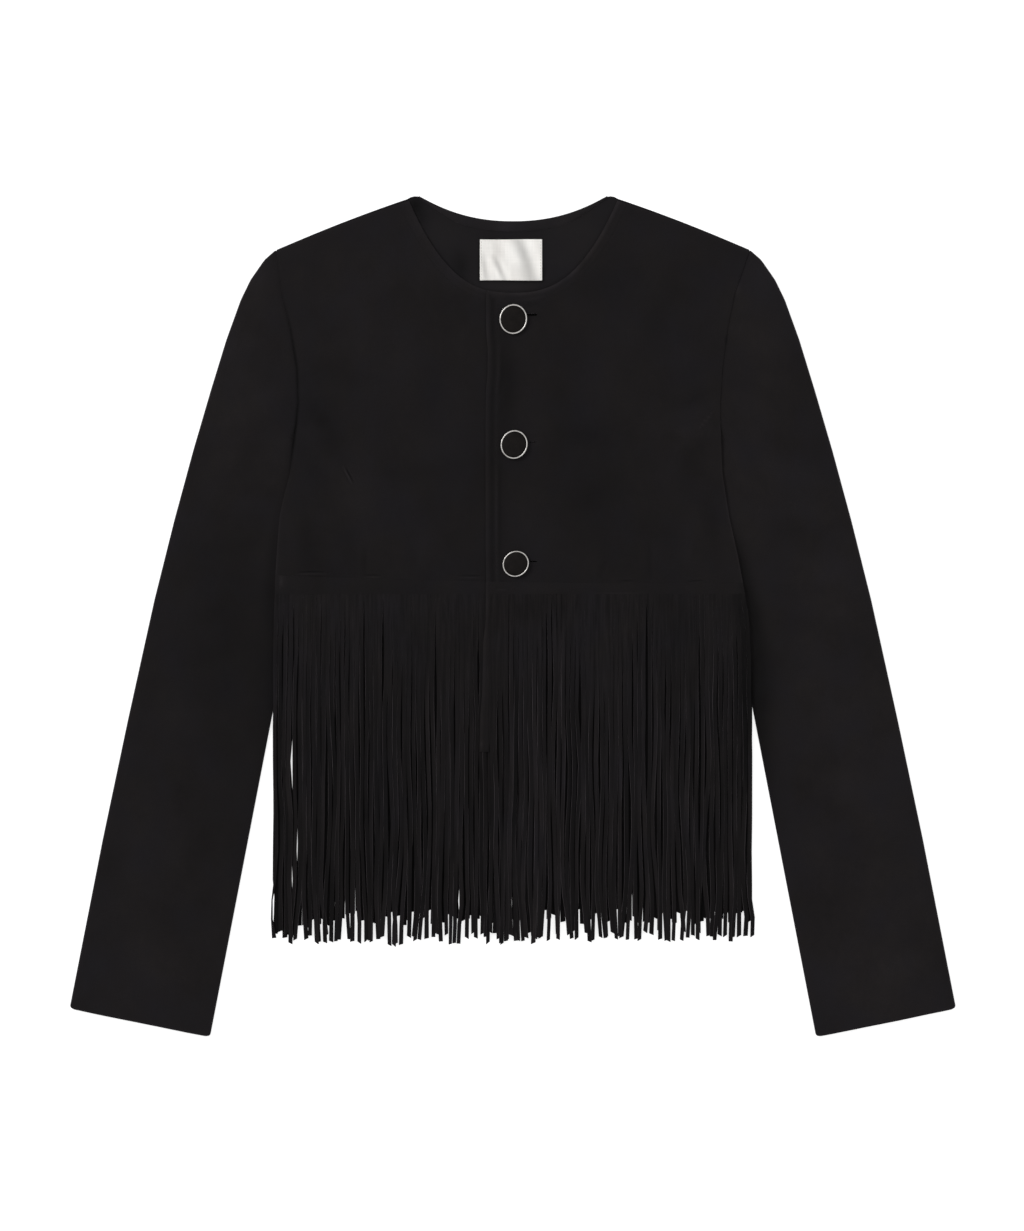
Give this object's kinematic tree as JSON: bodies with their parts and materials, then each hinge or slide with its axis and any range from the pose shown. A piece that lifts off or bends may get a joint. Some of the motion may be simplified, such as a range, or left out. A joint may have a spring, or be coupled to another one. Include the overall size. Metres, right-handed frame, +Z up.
{
  "type": "fringed leather jacket",
  "caption": "Round-neck cropped suede jacket with a long fringed skirt, laid flat and buttoned, with plain straight sleeves.",
  "frame": {"origin": "centre of the jacket's outline as it lies, on the surface under its back", "axes": "+Y from the hem to the neck, +X across the body to the side on the viewer's right (the wearer's left), +Z up out of the surface the jacket lies on"},
  "size_m": [0.7506, 0.712, 0.0129],
  "materials": {
    "suede": "black suede with a short soft nap",
    "suede_inside": "black, smoother inner side",
    "label_satin": "plain off-white satin ribbon",
    "button_metal": "polished silver-coloured metal",
    "button_black": "black enamel with a soft gloss"
  },
  "bodies": {
    "root": {"back": "suede_inside", "back_fringe": "suede", "front_left": "suede", "front_right": "suede", "front_left_fringe": "suede", "front_right_fringe": "suede", "front_edge_strip": "suede", "sleeve_left_upper": "suede", "sleeve_left_under": "suede", "sleeve_right_upper": "suede", "sleeve_right_under": "suede", "back_neck_facing": "suede_inside", "neck_label": "label_satin", "button_top_base": "button_metal", "button_top_centre": "button_black", "button_middle_base": "button_metal", "button_middle_centre": "button_black", "button_waist_base": "button_metal", "button_waist_centre": "button_black"}
  },
  "joints": []
}
